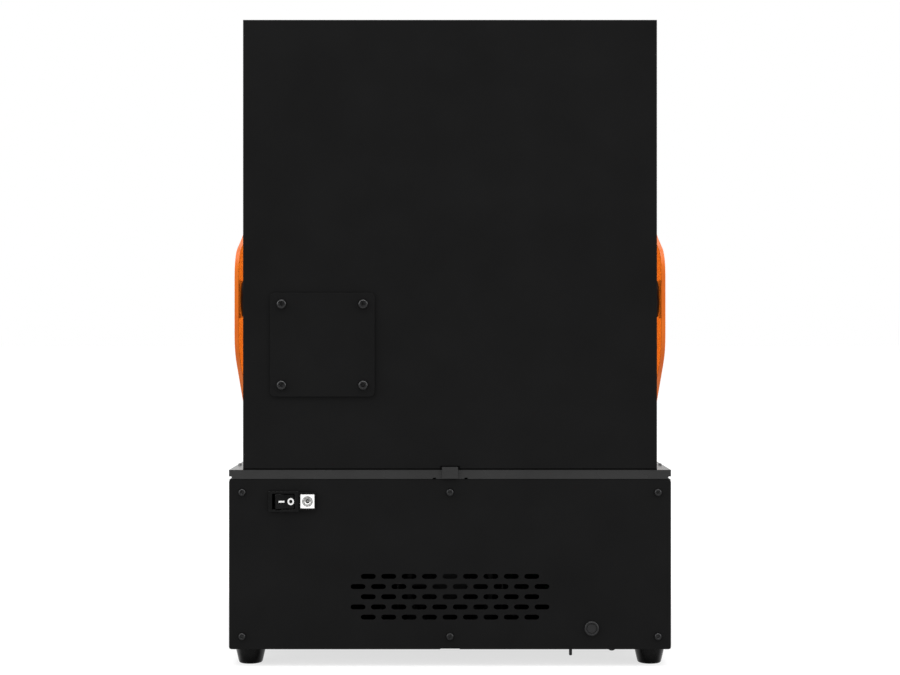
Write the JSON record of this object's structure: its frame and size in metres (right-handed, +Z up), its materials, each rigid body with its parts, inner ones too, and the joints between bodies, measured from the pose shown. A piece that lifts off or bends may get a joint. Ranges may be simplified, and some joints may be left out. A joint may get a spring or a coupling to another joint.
{
  "type": "resin wash station",
  "caption": "Desktop wash station for resin prints: vented base with controls, steel hood, flip-up orange visor, clear tank, magnetic stirrer and lift-out basket.",
  "frame": {"origin": "on the surface that the feet stand on, under the centre of the machine's bounding box", "axes": "+Z up; -Y towards the front, where the controls and the visor's grip are; +Y towards the rear panel; +X to the right as seen from the front"},
  "size_m": [0.309, 0.3088, 0.458],
  "materials": {
    "powder_coat": "fine matt powder coat",
    "satin_powder_coat": "satin powder coat",
    "black_plastic": "fine moulded grain",
    "grey_plastic": "fine moulded grain",
    "black_screws": "black oxide",
    "motor_case": "black enamel",
    "bright_steel": "bright plated",
    "rubber": "matt moulded",
    "orange_polycarbonate": "polished, see-through orange",
    "clear_polycarbonate": "polished, see-through",
    "display_glass": "polished black window",
    "circuit_board": "solder mask over glass fibre",
    "carbon_filter": "granular"
  },
  "bodies": {
    "root": {"base_shell": "powder_coat", "base_rear_panel": "powder_coat", "hood_shell": "powder_coat", "port_cover": "powder_coat", "top_plate": "satin_powder_coat", "switch_housing": "black_plastic", "jack_body": "black_plastic", "fan_frame": "black_plastic", "board_tray": "black_plastic", "control_fascia": "black_plastic", "shut_sensor": "black_plastic", "pivot_boss_left": "black_plastic", "pivot_boss_right": "black_plastic", "rear_panel_screw_1": "black_screws", "rear_panel_screw_2": "black_screws", "rear_panel_screw_3": "black_screws", "rear_panel_screw_4": "black_screws", "rear_panel_screw_5": "black_screws", "rear_panel_screw_6": "black_screws", "port_cover_screw_1": "black_screws", "port_cover_screw_2": "black_screws", "port_cover_screw_3": "black_screws", "port_cover_screw_4": "black_screws", "plate_rivet_rear_right": "black_screws", "plate_rivet_front_right": "black_screws", "plate_rivet_rear_left": "black_screws", "plate_rivet_front_left": "black_screws", "bottom_stud": "black_screws", "bottom_screw": "black_screws", "pivot_screw_left": "black_screws", "pivot_screw_right": "black_screws", "stir_motor": "motor_case", "jack_face": "bright_steel", "jack_sleeve": "bright_steel", "jack_pin": "bright_steel", "motor_bridge": "bright_steel", "dial_encoder": "bright_steel", "foot_rear_right": "rubber", "foot_front_right": "rubber", "foot_rear_left": "rubber", "foot_front_left": "rubber", "panel_plug": "rubber", "display_window": "display_glass", "main_board": "circuit_board", "control_board": "circuit_board", "filter_cassette": "carbon_filter"},
    "visor": {"visor": "orange_polycarbonate", "visor_grip": "black_plastic", "visor_magnet": "bright_steel"},
    "tank": {"wash_tank": "clear_polycarbonate", "impeller_guard": "grey_plastic"},
    "impeller": {"impeller": "grey_plastic"},
    "basket": {"wash_basket": "grey_plastic"},
    "basket_handle": {"basket_handle": "bright_steel"},
    "magnet_rotor": {"magnet_rotor": "grey_plastic"},
    "fan_rotor": {"fan_rotor": "black_plastic"},
    "switch_rocker": {"switch_rocker": "black_plastic"},
    "control_knob": {"control_knob": "black_plastic"},
    "start_button": {"start_button": "grey_plastic"}
  },
  "joints": [
    {"name": "visor_flip", "type": "hinge", "parent": "root", "child": "visor", "pos_m": [0, 0.0706, 0.252], "axis": [-1, 0, 0], "range_deg": [0, 90]},
    {"name": "tank_lift", "type": "slide", "parent": "root", "child": "tank", "axis": [0, 0, 1], "range_m": [0, 0.02]},
    {"name": "basket_lift", "type": "slide", "parent": "tank", "child": "basket", "axis": [0, 0, 1], "range_m": [0, 0.025]},
    {"name": "basket_handle_swing", "type": "hinge", "parent": "basket", "child": "basket_handle", "pos_m": [0, 0.0006, 0.34], "axis": [-1, 0, 0], "range_deg": [0, 90]},
    {"name": "magnet_rotor_spin", "type": "hinge", "parent": "root", "child": "magnet_rotor", "pos_m": [0, 0.0006, 0.115], "axis": [0, 0, 1], "continuous": true},
    {"name": "impeller_spin", "type": "hinge", "parent": "tank", "child": "impeller", "pos_m": [0, 0.0006, 0.145], "axis": [0, 0, 1], "continuous": true},
    {"name": "fan_spin", "type": "hinge", "parent": "root", "child": "fan_rotor", "pos_m": [0, 0.1006, 0.0476], "axis": [0, 1, 0], "continuous": true},
    {"name": "switch_rock", "type": "hinge", "parent": "root", "child": "switch_rocker", "pos_m": [0.1131, 0.1471, 0.1125], "axis": [0, 0, -1], "range_deg": [0, 20]},
    {"name": "knob_turn", "type": "hinge", "parent": "root", "child": "control_knob", "pos_m": [0.055, -0.1397, 0.07], "axis": [0, -1, 0], "continuous": true},
    {"name": "button_press", "type": "slide", "parent": "root", "child": "start_button", "axis": [0, 1, 0], "range_m": [0, 0.0012], "stiffness_N_per_m": 400}
  ],
  "couplings": [
    {"joint": "impeller_spin", "follows": "magnet_rotor_spin", "ratio": 1}
  ]
}
